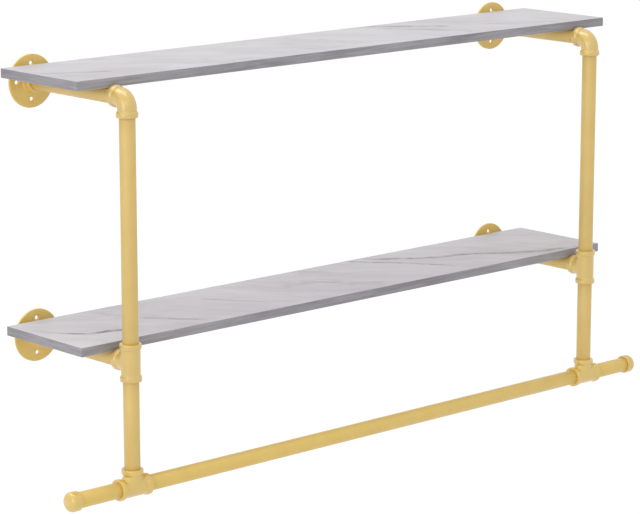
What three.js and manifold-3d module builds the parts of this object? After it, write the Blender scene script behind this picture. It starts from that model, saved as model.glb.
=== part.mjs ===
// A wall-mounted pipe shelving unit: two boards on a frame of threaded pipe, with a hanging rail
// below them. Lengths are millimetres. +Z is up, +X runs to the right along the boards and the
// front faces -Y. The origin is on the wall plane, midway between the posts and level with the
// axes of the upper arms.

import * as THREE from "three";
import { mergeVertices } from "three/addons/utils/BufferGeometryUtils.js";
import Module from "manifold-3d";

const wasm = await Module();
wasm.setup();

// Driving dimensions of the unit
const shelfPitch = 432;
const railDrop = 210;
const stubLength = 81;

// The boards, which run on past each post's axis by the overhang
const board = {
  length: 1235,
  overhang: 73,
  depth: 204,
  thickness: 16,
  edgeRound: 0.8,
};

// The pipe, and the turned-down ends that stand for its thread
const pipe = {
  diameter: 26.7,
  wall: 2.9,
};
const thread = {
  length: 12.7,
  depth: 0.75,
};

// The cast elbows and tees: a thin body with a raised band round each mouth
const fitting = {
  wall: 3.2,
  crotchRadius: 2.6,
  crotchInset: 0.15,
  bandRise: 2.1,
  bandWidth: 9,
  bandRound: 1.5,
};

// The floor flanges
const flange = {
  diameter: 90,
  plate: 3.8,
  rimRound: 1.4,
  hubWall: 4.7,
  hubRound: 1.4,
  hubFillet: 3.6,
  backSpace: 5.9,
  holeCircle: 60,
  holeDiameter: 7,
  sinkWidening: 1.3,
  sinkDepth: 1.3,
};
const flangeHoles = 4;

// The end caps, with a slightly domed end
const cap = {
  wall: 3.7,
  endSpace: 3.5,
  endWall: 4.2,
  endRound: 8,
  endCrown: 0.8,
  mouthRound: 1.2,
};

// The wood screws that come up through each arm into its board, their heads sunk into the arm
const screw = {
  shankDiameter: 4,
  headDiameter: 8,
  headHeight: 2.3,
  headSink: 0.9,
  tipLength: 4,
  bite: 10.5,
  inset: 34,
};

// Clearances
const clearance = {
  seat: 0.3,
  thread: 0.3,
  drill: 0.3,
  boardBack: 0.6,
  boardFront: 2.3,
};

// How finely round forms are divided
const pipeSides = 20;
const plateSides = 32;
const screwSides = 8;
const bendSteps = 5;
const filletSteps = 2;
const capSteps = 4;

// How far a cutting tool runs past the face that it cuts
const overrun = 1;

// Radii that follow from the pipe
const pipeRadius = pipe.diameter / 2;
const boreRadius = pipeRadius - pipe.wall;
const threadRadius = pipeRadius - thread.depth;
const socketRadius = threadRadius + clearance.thread;
const bodyRadius = socketRadius + fitting.wall;
const bandRadius = bodyRadius + fitting.bandRise;
const bendRadius = bodyRadius + fitting.crotchRadius;

// Between the posts' axes
const postSpacing = board.length - 2 * board.overhang;

// From a fitting's centre to each of its faces, and from the wall to a flange's face
const fittingReach = bendRadius + thread.length;
const flangeHeight = flange.backSpace + thread.length;
const capLength = thread.length + cap.endSpace + cap.endWall;

// Places along Y, from the wall to the posts
const boardBackY = -(flangeHeight + clearance.boardBack);
const boardFrontY = boardBackY - board.depth;
const fittingFaceY = boardFrontY - clearance.boardFront;
const postY = fittingFaceY - fittingReach;

// Places along Z, from the upper arms' axis
const armLevels = { upper: 0, lower: -shelfPitch };
const railZ = armLevels.lower - railDrop;
const boardRise = pipeRadius + clearance.seat;
const screwDrop = pipeRadius - screw.headSink;

const up = new THREE.Vector3(0, 0, 1);
const back = new THREE.Vector3(0, 1, 0);
const forward = new THREE.Vector3(0, -1, 0);
const right = new THREE.Vector3(1, 0, 0);

// A three.js geometry as a solid that can be joined and cut
function solidOf(geometry) {
  const bare = geometry.clone();
  bare.deleteAttribute("normal");
  bare.deleteAttribute("uv");
  const merged = mergeVertices(bare);
  const triangles = [];
  for (let i = 0; i < merged.index.count; i += 3) {
    const [a, b, c] = [0, 1, 2].map((k) => merged.index.getX(i + k));
    if (a !== b && b !== c && c !== a) {
      triangles.push(a, b, c);
    }
  }
  const vertProperties = new Float32Array(merged.attributes.position.array);
  const triVerts = new Uint32Array(triangles);
  return new wasm.Manifold(new wasm.Mesh({ numProp: 3, vertProperties, triVerts }));
}

// A solid as a three.js geometry
function geometryOf(solid) {
  const mesh = solid.getMesh();
  const stride = mesh.numProp;
  const positions = new Float32Array(mesh.numVert * 3);
  for (let i = 0; i < mesh.numVert; i += 1) {
    positions.set(mesh.vertProperties.subarray(i * stride, i * stride + 3), i * 3);
  }
  const indexed = new THREE.BufferGeometry();
  indexed.setAttribute("position", new THREE.BufferAttribute(positions, 3));
  indexed.setIndex(new THREE.BufferAttribute(mesh.triVerts, 1));
  const geometry = indexed.toNonIndexed();
  geometry.computeVertexNormals();
  return geometry;
}

// Points [radius, height] of a quarter or other arc of a profile
function arc(centreRadius, centreHeight, size, from, to, steps = 1) {
  const points = [];
  for (let i = 0; i <= steps; i += 1) {
    const angle = from + ((to - from) * i) / steps;
    points.push([
      centreRadius + size * Math.cos(angle),
      centreHeight + size * Math.sin(angle),
    ]);
  }
  return points;
}

// A profile of [radius, height] points turned about Z
function revolve(profile, sides = pipeSides) {
  const points = profile.map(([radius, height]) => new THREE.Vector2(radius, height));
  return solidOf(new THREE.LatheGeometry(points, sides).rotateX(Math.PI / 2));
}

// A plain round bar from one height to another, for cutting
function bar(radius, from, to, sides = pipeSides) {
  const length = to - from;
  const cylinder = new THREE.CylinderGeometry(radius, radius, length, sides);
  return solidOf(cylinder.rotateX(Math.PI / 2).translate(0, 0, from + length / 2));
}

// A solid turned so that its +Z points along a direction
function aimed(solid, direction) {
  const turn = new THREE.Quaternion().setFromUnitVectors(up, direction);
  return solidOf(geometryOf(solid).applyQuaternion(turn));
}

function joined(solids) {
  return solids.reduce((whole, solid) => whole.add(solid));
}

// A closed skin over round sections, each with its own centre, tilt and radius
function loft(sections) {
  const positions = [];
  for (const { y, z, tilt, radius } of sections) {
    for (let i = 0; i < pipeSides; i += 1) {
      const angle = (2 * Math.PI * i) / pipeSides;
      const across = radius * Math.sin(angle);
      positions.push(
        radius * Math.cos(angle),
        y - across * Math.sin(tilt),
        z + across * Math.cos(tilt),
      );
    }
  }
  const index = [];
  for (let ring = 0; ring + 1 < sections.length; ring += 1) {
    for (let i = 0; i < pipeSides; i += 1) {
      const next = (i + 1) % pipeSides;
      const [a, b] = [ring * pipeSides + i, ring * pipeSides + next];
      const [c, d] = [a + pipeSides, b + pipeSides];
      index.push(a, b, c, b, d, c);
    }
  }
  const last = (sections.length - 1) * pipeSides;
  for (let i = 1; i + 1 < pipeSides; i += 1) {
    index.push(0, i + 1, i);
    index.push(last, last + i, last + i + 1);
  }
  const geometry = new THREE.BufferGeometry();
  geometry.setAttribute("position", new THREE.Float32BufferAttribute(positions, 3));
  geometry.setIndex(index);
  return solidOf(geometry);
}

// A tube that runs in from the wall side, round a quarter bend and down. It is alike at both
// ends, and each end section is [distance from the bend's end, radius], from its mouth inwards.
function bentTube(endSections) {
  const sections = [];
  for (const [distance, radius] of endSections) {
    sections.push({ y: bendRadius + distance, z: 0, tilt: 0, radius });
  }
  const bodyEnd = endSections[endSections.length - 1][1];
  for (let i = 1; i < bendSteps; i += 1) {
    const tilt = (Math.PI / 2) * (i / bendSteps);
    sections.push({
      y: bendRadius * (1 - Math.sin(tilt)),
      z: -bendRadius * (1 - Math.cos(tilt)),
      tilt,
      radius: bodyEnd,
    });
  }
  for (const [distance, radius] of [...endSections].reverse()) {
    sections.push({ y: 0, z: -bendRadius - distance, tilt: Math.PI / 2, radius });
  }
  return loft(sections);
}

// The outside of a fitting's mouth as [distance from the bend's end, radius], from its face
// inwards: a band with an eased rim and a sloping heel, then the body
function mouthSkin() {
  const face = thread.length;
  const heel = face - fitting.bandWidth;
  return [
    [face, bandRadius - fitting.bandRound],
    [face - fitting.bandRound, bandRadius],
    [heel + fitting.bandRound, bandRadius],
    [heel, bodyRadius],
    [0, bodyRadius],
  ];
}

// The hollow of a fitting's mouth, in the same terms: the socket, its stop and the waterway
function mouthHollow() {
  return [
    [thread.length + overrun, socketRadius],
    [0, socketRadius],
    [0, boreRadius],
  ];
}

// The elbow's mouths face back, to the arm, and down, to the post
function elbowSolid() {
  return bentTube(mouthSkin()).subtract(bentTube(mouthHollow()));
}

// A limb of a tee as a profile of [radius, height] points, from its mouth to its root
function limbProfile(sections) {
  return sections.map(([distance, radius]) => [radius, bendRadius + distance]);
}

// The tee's run, with a mouth at each end along Z
function runLimbs(sections) {
  const upper = limbProfile(sections);
  const lower = upper.map(([radius, height]) => [radius, -height]).reverse();
  const mouth = upper[0][1];
  return revolve([[0, mouth], ...upper, ...lower, [0, -mouth]].reverse());
}

// The tee's branch, from the centre back to its own mouth
function branchLimb(sections) {
  const profile = limbProfile(sections);
  const mouth = profile[0][1];
  const root = profile[profile.length - 1][0];
  return aimed(revolve([[0, mouth], ...profile, [root, 0], [0, 0]].reverse()), back);
}

// The tee's run goes up and down, and its branch goes back. Its crotches are filled by the
// body's section swept round a bend from the branch to each end of the run.
function teeSolid() {
  const lowerCrotch = bentTube([[0, bodyRadius - fitting.crotchInset]]);
  const upperCrotch = solidOf(geometryOf(lowerCrotch).rotateX(Math.PI).rotateZ(Math.PI));
  const limbs = [runLimbs(mouthSkin()), branchLimb(mouthSkin())];
  const hollow = [runLimbs(mouthHollow()), branchLimb(mouthHollow())];
  return joined([...limbs, lowerCrotch, upperCrotch]).subtract(joined(hollow));
}

// A pipe along Z from one shoulder to the other, with a threaded end past each
function pipeSolid(length) {
  const start = -thread.length;
  const end = length + thread.length;
  return revolve([
    [boreRadius, start],
    [threadRadius, start],
    [threadRadius, 0],
    [pipeRadius, 0],
    [pipeRadius, length],
    [threadRadius, length],
    [threadRadius, end],
    [boreRadius, end],
    [boreRadius, start],
  ]);
}

// The visible length of a pipe whose fittings' faces are a distance apart
function betweenFaces(distance) {
  return distance - 2 * clearance.seat;
}

// Distances of an arm's screws from the board's back edge
const screwPlaces = { rear: screw.inset, front: board.depth - screw.inset };
const armLength = betweenFaces(-fittingFaceY - flangeHeight);
const armStartY = -(flangeHeight + clearance.seat);

// An arm is drilled across, and sunk below, for the screws that come up through it
function armSolid() {
  const holeRadius = screw.shankDiameter / 2 + clearance.drill;
  const sinkRadius = screw.headDiameter / 2 + clearance.drill;
  const reach = pipeRadius + overrun;
  const hole = revolve(
    [
      [0, -reach],
      [sinkRadius, -reach],
      [sinkRadius, -screwDrop],
      [holeRadius, screw.headHeight - screwDrop],
      [holeRadius, reach],
      [0, reach],
    ],
    screwSides,
  );
  const across = geometryOf(aimed(hole, back));
  let arm = pipeSolid(armLength);
  for (const inset of Object.values(screwPlaces)) {
    const along = armStartY - (boardBackY - inset);
    arm = arm.subtract(solidOf(across.clone().translate(0, 0, along)));
  }
  return arm;
}

// A flange stands on its back face: a round plate, with a filleted hub along +Z
function flangeSolid() {
  const rim = flange.diameter / 2;
  const rimRound = flange.rimRound;
  const plate = revolve(
    [
      [0, 0],
      [rim, 0],
      ...arc(rim - rimRound, flange.plate - rimRound, rimRound, 0, Math.PI / 2),
      [0, flange.plate],
    ],
    plateSides,
  );
  const hubRadius = socketRadius + flange.hubWall;
  const fillet = flange.hubFillet;
  const round = flange.hubRound;
  const hub = revolve([
    [0, flange.plate - rimRound],
    [hubRadius + fillet, flange.plate - rimRound],
    ...arc(hubRadius + fillet, flange.plate + fillet, fillet, -Math.PI / 2, -Math.PI, filletSteps),
    ...arc(hubRadius - round, flangeHeight - round, round, 0, Math.PI / 2),
    [0, flangeHeight],
  ]);
  const socket = bar(socketRadius, -overrun, flangeHeight + overrun);
  const holeRadius = flange.holeDiameter / 2;
  const sinkRadius = holeRadius + flange.sinkWidening;
  const sinkFlare = (overrun * flange.sinkWidening) / flange.sinkDepth;
  const hole = revolve(
    [
      [0, -overrun],
      [holeRadius, -overrun],
      [holeRadius, flange.plate - flange.sinkDepth],
      [sinkRadius + sinkFlare, flange.plate + overrun],
      [0, flange.plate + overrun],
    ],
    screwSides,
  );
  let drilled = plate.add(hub).subtract(socket);
  for (let i = 0; i < flangeHoles; i += 1) {
    const placed = geometryOf(hole)
      .translate(flange.holeCircle / 2, 0, 0)
      .rotateZ((2 * Math.PI * i) / flangeHoles);
    drilled = drilled.subtract(solidOf(placed));
  }
  return drilled;
}

// A cap's mouth is at Z 0 and its closed end at the top
function capSolid() {
  const radius = socketRadius + cap.wall;
  const innerEnd = thread.length + cap.endSpace;
  const { mouthRound, endRound } = cap;
  const shoulder = capLength - cap.endCrown - endRound;
  return revolve([
    [0, innerEnd],
    [socketRadius, innerEnd],
    [socketRadius, 0],
    ...arc(radius - mouthRound, mouthRound, mouthRound, -Math.PI / 2, 0),
    ...arc(radius - endRound, shoulder, endRound, 0, Math.PI / 2, capSteps),
    [0, capLength],
  ]);
}

// A board lies with its underside at Z 0, its middle at X 0 and its back edge at Y 0
function boardSolid() {
  const round = board.edgeRound;
  const outline = new THREE.Shape();
  outline.moveTo(-board.length / 2, -board.depth);
  outline.lineTo(board.length / 2, -board.depth);
  outline.lineTo(board.length / 2, 0);
  outline.lineTo(-board.length / 2, 0);
  outline.closePath();
  const slab = new THREE.ExtrudeGeometry(outline, {
    depth: board.thickness - 2 * round,
    bevelThickness: round,
    bevelSize: round,
    bevelOffset: -round,
    bevelSegments: filletSteps,
  });
  const pilot = bar(
    screw.shankDiameter / 2 + clearance.drill,
    -overrun,
    screw.bite + clearance.seat,
    screwSides,
  );
  let drilled = solidOf(slab.translate(0, 0, round));
  for (const side of [-1, 1]) {
    for (const inset of Object.values(screwPlaces)) {
      const placed = geometryOf(pilot).translate((side * postSpacing) / 2, -inset, 0);
      drilled = drilled.subtract(solidOf(placed));
    }
  }
  return drilled;
}

// A screw points up, with the face of its sunk head at Z 0
function screwSolid() {
  const headRadius = screw.headDiameter / 2;
  const shankRadius = screw.shankDiameter / 2;
  const length = screwDrop + boardRise + screw.bite;
  return revolve(
    [
      [0, 0],
      [headRadius, 0],
      [shankRadius, screw.headHeight],
      [shankRadius, length - screw.tipLength],
      [0, length],
    ],
    screwSides,
  );
}

// Finishes
const goldPipe = { color: 0xdcbc74, roughness: 0.34, metalness: 0.35 };
const goldCasting = { color: 0xdcbc74, roughness: 0.4, metalness: 0.35 };
const marble = { color: 0xd6d3d6, roughness: 0.45, metalness: 0 };
const zinc = { color: 0xb9bcc0, roughness: 0.35, metalness: 0.9 };

const unit = new THREE.Group();

// Adds a named piece to a group, with its own +Z turned along a direction
function place(group, name, geometry, finish, position, direction = up) {
  const mesh = new THREE.Mesh(geometry, new THREE.MeshStandardMaterial(finish));
  mesh.name = name;
  mesh.position.set(...position);
  mesh.quaternion.setFromUnitVectors(up, direction);
  group.add(mesh);
  return mesh;
}

const shapes = {
  flange: geometryOf(flangeSolid()),
  arm: geometryOf(armSolid()),
  elbow: geometryOf(elbowSolid()),
  tee: geometryOf(teeSolid()),
  upperPost: geometryOf(pipeSolid(betweenFaces(shelfPitch - 2 * fittingReach))),
  lowerPost: geometryOf(pipeSolid(betweenFaces(railDrop - 2 * fittingReach))),
  rail: geometryOf(pipeSolid(betweenFaces(postSpacing - 2 * fittingReach))),
  stub: geometryOf(pipeSolid(stubLength)),
  cap: geometryOf(capSolid()),
  board: geometryOf(boardSolid()),
  screw: geometryOf(screwSolid()),
};

// The boards, level with their arms
for (const [level, z] of Object.entries(armLevels)) {
  place(unit, `${level}_board`, shapes.board, marble, [0, boardBackY, z + boardRise]);
}

// The two sides of the frame, each built about its post's own X
for (const [side, sign] of [["left", -1], ["right", 1]]) {
  const frame = new THREE.Group();
  frame.position.x = (sign * postSpacing) / 2;
  unit.add(frame);
  const outward = right.clone().multiplyScalar(sign);

  for (const [level, z] of Object.entries(armLevels)) {
    place(frame, `${level}_${side}_flange`, shapes.flange, goldCasting, [0, 0, z], forward);
    place(frame, `${level}_${side}_arm`, shapes.arm, goldPipe, [0, armStartY, z], forward);
    for (const [end, inset] of Object.entries(screwPlaces)) {
      const seat = [0, boardBackY - inset, z - screwDrop];
      place(frame, `${level}_${side}_${end}_screw`, shapes.screw, zinc, seat);
    }
  }

  place(frame, `${side}_elbow`, shapes.elbow, goldCasting, [0, postY, armLevels.upper]);
  place(frame, `${side}_middle_tee`, shapes.tee, goldCasting, [0, postY, armLevels.lower]);
  const bottomTee = place(frame, `${side}_bottom_tee`, shapes.tee, goldCasting, [0, postY, railZ]);
  bottomTee.setRotationFromMatrix(new THREE.Matrix4().makeBasis(back, up, right));

  const postGap = fittingReach + clearance.seat;
  const upperPostFoot = [0, postY, armLevels.lower + postGap];
  const lowerPostFoot = [0, postY, railZ + postGap];
  place(frame, `${side}_upper_post`, shapes.upperPost, goldPipe, upperPostFoot);
  place(frame, `${side}_lower_post`, shapes.lowerPost, goldPipe, lowerPostFoot);

  const stubStart = sign * postGap;
  const capStart = sign * (postGap + stubLength + clearance.seat);
  place(frame, `${side}_rail_stub`, shapes.stub, goldPipe, [stubStart, postY, railZ], outward);
  place(frame, `${side}_end_cap`, shapes.cap, goldCasting, [capStart, postY, railZ], outward);
}

// The hanging rail, between the bottom tees
const railStart = -postSpacing / 2 + fittingReach + clearance.seat;
place(unit, "hanging_rail", shapes.rail, goldPipe, [railStart, postY, railZ], right);

export default unit;
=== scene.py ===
import itertools
import math

import bmesh
import bpy
import numpy as np
from mathutils import Matrix, Vector


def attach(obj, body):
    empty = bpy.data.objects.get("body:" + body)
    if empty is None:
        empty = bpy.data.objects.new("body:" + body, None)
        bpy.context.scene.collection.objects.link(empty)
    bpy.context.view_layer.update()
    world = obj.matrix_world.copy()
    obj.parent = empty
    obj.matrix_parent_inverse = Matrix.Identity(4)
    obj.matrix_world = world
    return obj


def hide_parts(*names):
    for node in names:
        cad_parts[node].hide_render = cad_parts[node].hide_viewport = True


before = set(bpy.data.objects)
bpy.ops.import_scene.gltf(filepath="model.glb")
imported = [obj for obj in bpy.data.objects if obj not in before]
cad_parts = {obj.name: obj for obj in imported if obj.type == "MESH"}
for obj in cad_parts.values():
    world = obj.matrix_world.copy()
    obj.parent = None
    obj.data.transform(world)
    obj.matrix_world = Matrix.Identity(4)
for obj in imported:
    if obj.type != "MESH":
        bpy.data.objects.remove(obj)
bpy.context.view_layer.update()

# Sizes and places

# Driving dimensions of the unit, as in the solids
SHELF_PITCH = 432.0
RAIL_DROP = 210.0
STUB_LENGTH = 81.0

# The boards, which run on past each post's axis by the overhang
BOARD_LENGTH = 1235.0
BOARD_OVERHANG = 73.0
BOARD_DEPTH = 204.0
BOARD_THICKNESS = 16.0
BOARD_ROUND = 0.8

# The pipe, and the turned-down ends that stand for its thread
PIPE_DIAMETER = 26.7
PIPE_WALL = 2.9
PIPE_RADIUS = PIPE_DIAMETER / 2
BORE_RADIUS = PIPE_RADIUS - PIPE_WALL
THREAD_DEPTH = 0.75
THREAD_RADIUS = PIPE_RADIUS - THREAD_DEPTH
THREAD_LENGTH = 12.7
BORE_CHAMFER = 0.6
THREAD_CHAMFER = 0.7

# Where a thread ends: a cone up to the full width, whose edge is eased by this rise and run
SHOULDER_CONE = 0.8
SHOULDER_EASE = 0.25
SHOULDER_EASE_LENGTH = 0.4

# Clearances
SEAT = 0.3
THREAD_GAP = 0.3
LEAD_GAP = 0.07
DRILL_GAP = 0.3
HEAD_GAP = 0.35
BOARD_BACK_GAP = 0.6
BOARD_FRONT_GAP = 2.3

# A pipe's full width runs into a fitting's mouth by the lead, with the lead's radius round it
LEAD = 1.6
LEAD_RADIUS = PIPE_RADIUS + LEAD_GAP
LEAD_CONE = 0.9
MOUTH_CHAMFER = 0.25

# The cast elbows and tees: a thin body with a raised band round each mouth
FITTING_WALL = 3.2
SOCKET_RADIUS = THREAD_RADIUS + THREAD_GAP
BODY_RADIUS = SOCKET_RADIUS + FITTING_WALL
BAND_RADIUS = 18.2
BAND_WIDTH = 9.0
BEND_RADIUS = 18.7
REACH = BEND_RADIUS + THREAD_LENGTH
MOUTH_ROUND = 1.4
TEE_FILLET = 6.0
LEAST_FILLET = 0.05
SOCKET_FLOOR_SLOPE = 0.05

# The band's rounded top, and the slope from the body up to it, which starts before the band
BAND_CROWN = 0.22
CROWN_INSET = 1.5
SLOPE_BEFORE = 2.0
SLOPE_AFTER = 2.2

# The floor flanges. The hub's fillet ends at an angle in degrees, a little short of upright, and the
# holes' sinks slope on past the plate's face
FLANGE_RADIUS = 45.0
PLATE_THICKNESS = 3.8
BACK_SPACE = 5.9
FLANGE_HEIGHT = THREAD_LENGTH + BACK_SPACE
HUB_WALL = 4.7
HUB_RADIUS = SOCKET_RADIUS + HUB_WALL
RIM_ROUND = 1.4
HUB_ROUND = 1.4
HUB_FILLET = 3.6
HUB_FILLET_END = -174
BACK_EDGE = 0.5
BACK_CHAMFER = 0.8
FLANGE_HOLES = 4
HOLE_CIRCLE_RADIUS = 30.0
HOLE_RADIUS = 3.5
SINK_WIDENING = 1.3
SINK_RADIUS = HOLE_RADIUS + SINK_WIDENING
SINK_DEPTH = 1.3
SINK_PAST = 0.4

# The end caps. The rounded edge turns by CAP_TURN degrees, and the shallow dome that follows has
# a point at every DOME_TURN degrees
CAP_WALL = 3.7
CAP_SPACE = 3.5
CAP_END_WALL = 4.2
CAP_RADIUS = SOCKET_RADIUS + CAP_WALL
CAP_LENGTH = THREAD_LENGTH + CAP_SPACE + CAP_END_WALL
CAP_ROUND = 8.0
CAP_TURN = 84
CAP_CROWN = 0.8
DOME_TURN = 18
CAP_RIM_ROUND = 1.2
CAP_FLOOR_CHAMFER = 1.2

# The wood screws, whose heads are sunk into the arms and whose tips bite into the boards. The
# inset is from a board's front or back edge
SCREW_RADIUS = 2.0
SCREW_INSET = 34.0
HEAD_RADIUS = 4.0
HEAD_HEIGHT = 2.3
HEAD_EASE = 0.25
HEAD_EASE_HEIGHT = 0.2
HEAD_SINK = 0.9
BITE = 10.5
PILOT_TIP = 1.0

# A screw's plain shank, which thins by the taper, and its thread, whose crest falls off over a
# share of the pitch. Core and crest run out to nothing over their tapers at the tip
SHANK_LENGTH = 8.0
SHANK_TAPER = 0.15
SCREW_CORE = 1.35
SCREW_PITCH = 1.6
CREST_SHARE = 0.28
CORE_TAPER = 4.0
CREST_TAPER = 3.0

# The cross recess in a screw's head: how far its arms reach, and how much it narrows
RECESS_REACH = 2.1
RECESS_WIDTH = 1.1
RECESS_DEPTH = 1.5
RECESS_TAPER = 0.6

# Places in the frame
POST_X = BOARD_LENGTH / 2 - BOARD_OVERHANG
BOARD_BACK = -(FLANGE_HEIGHT + BOARD_BACK_GAP)
BOARD_RISE = PIPE_RADIUS + SEAT
FACE_Y = BOARD_BACK - BOARD_DEPTH - BOARD_FRONT_GAP
POST_Y = FACE_Y - REACH
SCREW_DROP = PIPE_RADIUS - HEAD_SINK
SCREW_INSETS = {"rear": SCREW_INSET, "front": BOARD_DEPTH - SCREW_INSET}
LEVELS = {"upper": 0.0, "lower": -SHELF_PITCH}
RAIL_Z = -SHELF_PITCH - RAIL_DROP

# How finely round forms are divided
PIPE_SIDES = 72
RIM_SIDES = 96
HOLLOW_SIDES = 64
HOLE_SIDES = 40
DRILL_SIDES = 32
SCREW_SIDES = 20
PILOT_SIDES = 16
ARC_STEPS = 6
FILLET_STEPS = 8
CAP_STEPS = 14
BOARD_EDGE_STEPS = 4
BEND_STEPS = 16
THREAD_STEP = 0.4

# How far a cutter runs past the face that it cuts, a chamfer's slope past its face, a drill past
# the arm's axis and a recess past the head's face
CUT_PAST = 2.0
CHAMFER_PAST = 0.2
DRILL_PAST = 20
RECESS_PAST = 1.0

# The cast skins: the side of a cube, the step that a slope is measured over, the least squared
# slope and the least product of distances that are divided by, and the numbers of passes
SKIN_STEP = 0.8
SLOPE_STEP = 0.02
LEAST_SLOPE = 0.25
LEAST_PRODUCT = 1e-6
SETTLE_PASSES = 3
EVEN_PASSES = 6

# Points that lie nearer than this after a cut become one
WELD = 0.012

# A length that counts as none, a metre in millimetres, and a quarter turn
TINY = 1e-9
METRE = 1000
QUARTER = math.pi / 2


# Mesh building
def turned(profile, sides=PIPE_SIDES, closed=False):
    """A profile of (radius, height) points turned about Z.

    Its outside runs upwards, and a closed one comes back down the inside.
    """
    angles = np.arange(sides) * 2 * math.pi / sides
    verts, rings = [], []
    for radius, height in profile:
        start = len(verts)
        if radius < TINY:
            verts.append((0.0, 0.0, height))
            rings.append([start] * sides)
        else:
            verts += [(radius * math.cos(a), radius * math.sin(a), height) for a in angles]
            rings.append(list(range(start, start + sides)))
    pairs = list(zip(rings, rings[1:])) + ([(rings[-1], rings[0])] if closed else [])
    faces = []
    for low, high in pairs:
        for i in range(sides):
            j = (i + 1) % sides
            face = tuple(dict.fromkeys((low[i], low[j], high[j], high[i])))
            if len(face) > 2:
                faces.append(face)
    return np.array(verts), faces


def rounded(centre, size, start, end, steps=ARC_STEPS):
    """Points of an arc about (radius, height), in degrees."""
    angles = np.radians(np.linspace(start, end, steps + 1))
    return [(centre[0] + size * math.cos(a), centre[1] + size * math.sin(a)) for a in angles]


def lofted(rings):
    """A closed skin over rings of equal length, flat at both ends."""
    sides = len(rings[0])
    faces = []
    for k in range(len(rings) - 1):
        for i in range(sides):
            j = (i + 1) % sides
            a, b = k * sides, (k + 1) * sides
            faces.append((a + i, a + j, b + j, b + i))
    faces.append(tuple(reversed(range(sides))))
    last = (len(rings) - 1) * sides
    faces.append(tuple(range(last, last + sides)))
    return np.concatenate(rings), faces


def flat_ring(radius, height, angles):
    """Points round Z at one height. The radius is one number, or one for each angle."""
    x, y = radius * np.cos(angles), radius * np.sin(angles)
    return np.stack([x, y, np.full(len(angles), height)], -1)


def tilted_ring(radius, y, z, tilt):
    """Points round (0, y, z). The ring faces along Y, and with a quarter turn of tilt along Z."""
    angles = np.arange(HOLLOW_SIDES) * 2 * math.pi / HOLLOW_SIDES
    across = radius * np.sin(angles)
    return np.stack([
        radius * np.cos(angles), y - across * math.sin(tilt), z + across * math.cos(tilt),
    ], -1)


def rectangle(x, y, height):
    """The corners of a rectangle whose sides are twice x and twice y."""
    return np.array([(-x, -y, height), (x, -y, height), (x, y, height), (-x, y, height)])


def placed(shape, matrix):
    """The shape, moved and turned by the matrix."""
    verts, faces = shape
    rows = np.array(matrix, float)
    return verts @ rows[:3, :3].T + rows[:3, 3], faces


def as_object(name, shape, scale=1.0):
    """A Blender object with the shape as its mesh."""
    mesh = bpy.data.meshes.new(name)
    mesh.from_pydata((shape[0] * scale).tolist(), [], [list(f) for f in shape[1]])
    mesh.validate()
    obj = bpy.data.objects.new(name, mesh)
    bpy.context.scene.collection.objects.link(obj)
    return obj


def as_shape(obj):
    """The points and faces of an object's mesh."""
    mesh = obj.data
    points = np.zeros(len(mesh.vertices) * 3)
    mesh.vertices.foreach_get("co", points)
    return points.reshape(-1, 3), [tuple(p.vertices) for p in mesh.polygons]


def discard(obj):
    """Take a working object away again, with its mesh."""
    mesh = obj.data
    bpy.data.objects.remove(obj)
    bpy.data.meshes.remove(mesh)


def weld(mesh):
    """Join the points that a cut leaves all but on top of each other."""
    work = bmesh.new()
    work.from_mesh(mesh)
    bmesh.ops.remove_doubles(work, verts=work.verts, dist=WELD)
    bmesh.ops.dissolve_degenerate(work, edges=work.edges, dist=WELD)
    work.to_mesh(mesh)
    work.free()


def cut(obj, shape):
    """Take the shape out of an object's mesh."""
    tool = as_object("cutter", shape)
    modifier = obj.modifiers.new("cut", "BOOLEAN")
    modifier.operation = "DIFFERENCE"
    modifier.solver = "EXACT"
    modifier.object = tool
    bpy.context.view_layer.update()
    graph = bpy.context.evaluated_depsgraph_get()
    result = bpy.data.meshes.new_from_object(obj.evaluated_get(graph))
    obj.modifiers.clear()
    old, obj.data = obj.data, result
    bpy.data.meshes.remove(old)
    discard(tool)


def without(shape, *cutters):
    """The shape with each cutter taken out of it."""
    obj = as_object("work", shape)
    for cutter in cutters:
        cut(obj, cutter)
    weld(obj.data)
    result = as_shape(obj)
    discard(obj)
    return result


# Cast forms as level sets, which are below zero inside the metal
def ease(low, high, x):
    """A soft step from 0 at the low end to 1 at the high end."""
    t = np.clip((x - low) / (high - low), 0, 1)
    return t * t * (3 - 2 * t)


def soft_max(a, b, k):
    """The larger of two distances, with the corner between them rounded."""
    u, v = np.maximum(k + a, 0), np.maximum(k + b, 0)
    return np.minimum(-k, np.maximum(a, b)) + np.hypot(u, v)


def soft_min(a, b, k):
    """The smaller of two distances, with a fillet of size k where they meet."""
    u, v = np.maximum(k - a, 0), np.maximum(k - b, 0)
    return np.maximum(k, np.minimum(a, b)) - np.hypot(u, v)


def skin_radius(past):
    """A limb's radius at a distance past the bend's end: the body, then the band."""
    heel = THREAD_LENGTH - BAND_WIDTH
    arch = np.clip((past - heel - CROWN_INSET) / (BAND_WIDTH - CROWN_INSET), 0, 1)
    crown = BAND_CROWN * np.sin(math.pi * arch)
    rise = BAND_RADIUS - BODY_RADIUS - BAND_CROWN
    return BODY_RADIUS + rise * ease(heel - SLOPE_BEFORE, heel + SLOPE_AFTER, past) + crown


def limb_level(from_axis, along):
    """A limb up to its face, by the distance from its axis and along it from the middle."""
    return soft_max(from_axis - skin_radius(along - BEND_RADIUS), along - REACH, MOUTH_ROUND)


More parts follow.
